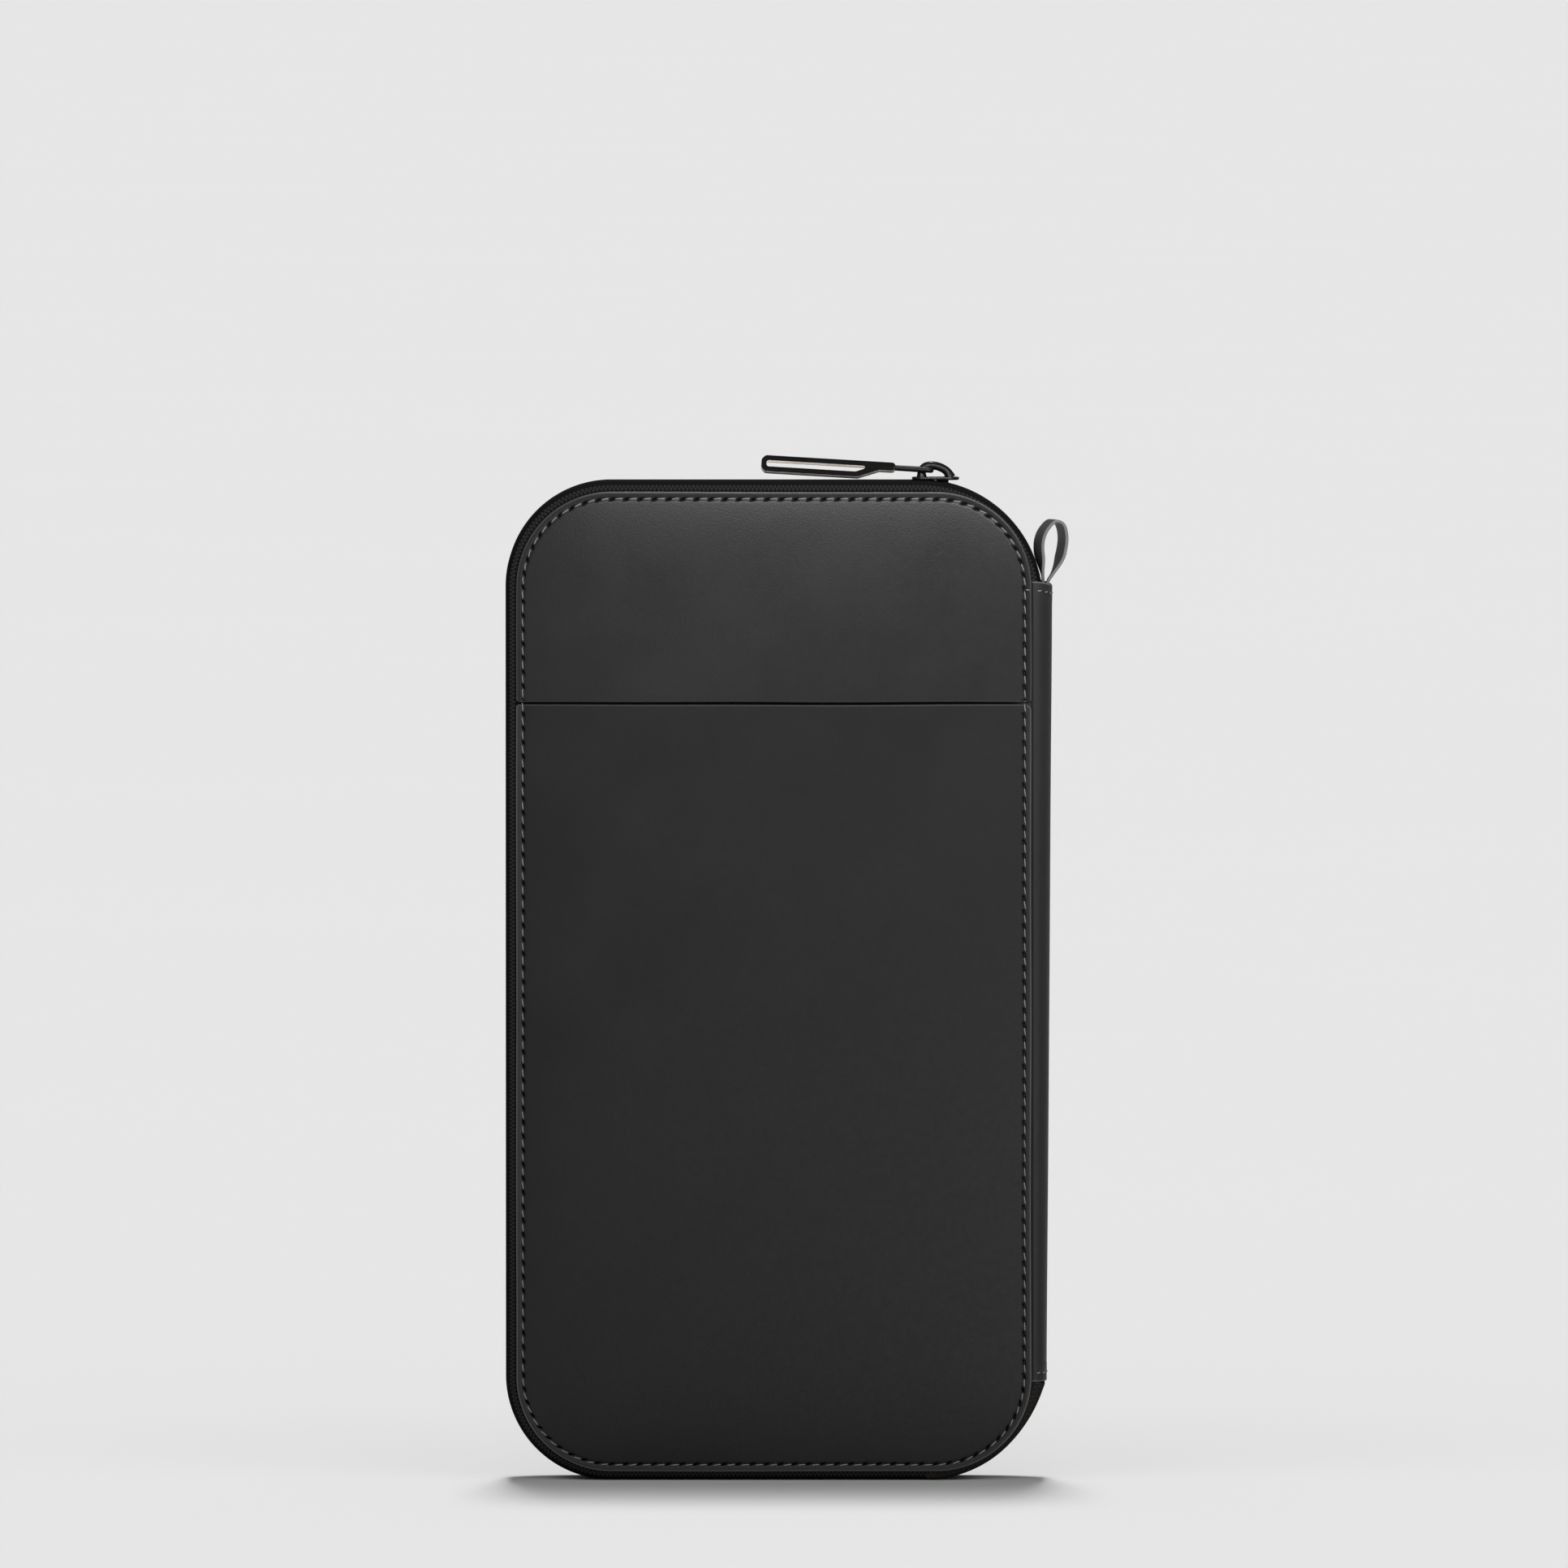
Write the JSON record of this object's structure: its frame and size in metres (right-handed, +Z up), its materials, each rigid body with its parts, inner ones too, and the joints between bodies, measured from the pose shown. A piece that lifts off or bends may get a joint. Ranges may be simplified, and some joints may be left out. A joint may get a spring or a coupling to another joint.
{
  "type": "travel document organizer",
  "caption": "Zip-round leather travel document organizer: two stiff covers on a leather spine, outer boarding pass pocket, inner sleeves and card slots, coil zip with slotted puller and pull loop.",
  "frame": {"origin": "centre of the bounding box at its bottom, where the closed organizer stands on its zip band", "axes": "+Z up along the covers' height, +X towards the spine, -Y out of the front cover with the outer pocket"},
  "size_m": [0.1379, 0.02, 0.2516],
  "materials": {
    "cover_leather": "smooth charcoal leather, satin",
    "spine_leather": "smooth charcoal leather, satin",
    "loop_leather": "charcoal leather strap with painted edges",
    "pocket_leather": "thin black leather",
    "lining_fabric": "black twill lining",
    "board": "grey-brown stiffener board",
    "zip_tape": "black woven zip tape",
    "corner_tab": "brown-black woven tab",
    "zip_coil": "black nylon coil",
    "zip_metal": "gloss black metal",
    "puller_metal": "matte black metal",
    "link_metal": "dark gunmetal wire",
    "thread": "grey waxed thread"
  },
  "bodies": {
    "back_cover": {"back_leather": "cover_leather", "back_board": "board", "back_lining": "lining_fabric", "back_seam_thread": "thread", "back_spine_margin": "spine_leather", "back_zip_tape": "zip_tape", "back_corner_tab": "corner_tab", "back_zip_coil": "zip_coil", "back_zip_stops": "zip_metal", "document_sleeve": "pocket_leather", "passport_pocket": "pocket_leather"},
    "spine": {"spine_leather": "spine_leather", "spine_lining": "lining_fabric", "spine_hem_threads": "thread", "pull_loop": "loop_leather"},
    "front_cover": {"front_upper_leather": "cover_leather", "front_pocket_leather": "cover_leather", "front_pocket_backing": "lining_fabric", "front_board": "board", "front_lining": "lining_fabric", "front_seam_thread": "thread", "front_spine_margin": "spine_leather", "front_zip_tape": "zip_tape", "front_corner_tab": "corner_tab", "front_zip_coil": "zip_coil", "front_zip_stops": "zip_metal", "card_slots": "pocket_leather", "ticket_pocket": "pocket_leather"},
    "zip_slider": {"slider_body": "zip_metal", "slider_bridge": "zip_metal"},
    "puller": {"puller_link": "link_metal", "puller_frame": "puller_metal"}
  },
  "joints": [
    {"name": "spine_fold", "type": "hinge", "parent": "back_cover", "child": "spine", "pos_m": [0.0606, 0.0094, 0.1225], "axis": [0, 0, 1], "range_deg": [0, 90]},
    {"name": "front_fold", "type": "hinge", "parent": "spine", "child": "front_cover", "pos_m": [0.0606, -0.0094, 0.1225], "axis": [0, 0, 1], "range_deg": [0, 90]},
    {"name": "zip_slide", "type": "slide", "parent": "back_cover", "child": "zip_slider", "axis": [-1, 0, 0], "range_m": [0, 0.072]},
    {"name": "puller_swing", "type": "hinge", "parent": "zip_slider", "child": "puller", "pos_m": [0.0355, 0, 0.2479], "axis": [0, 1, 0], "range_deg": [0, 150]}
  ],
  "couplings": [
    {"joint": "front_fold", "follows": "spine_fold", "ratio": 1}
  ]
}
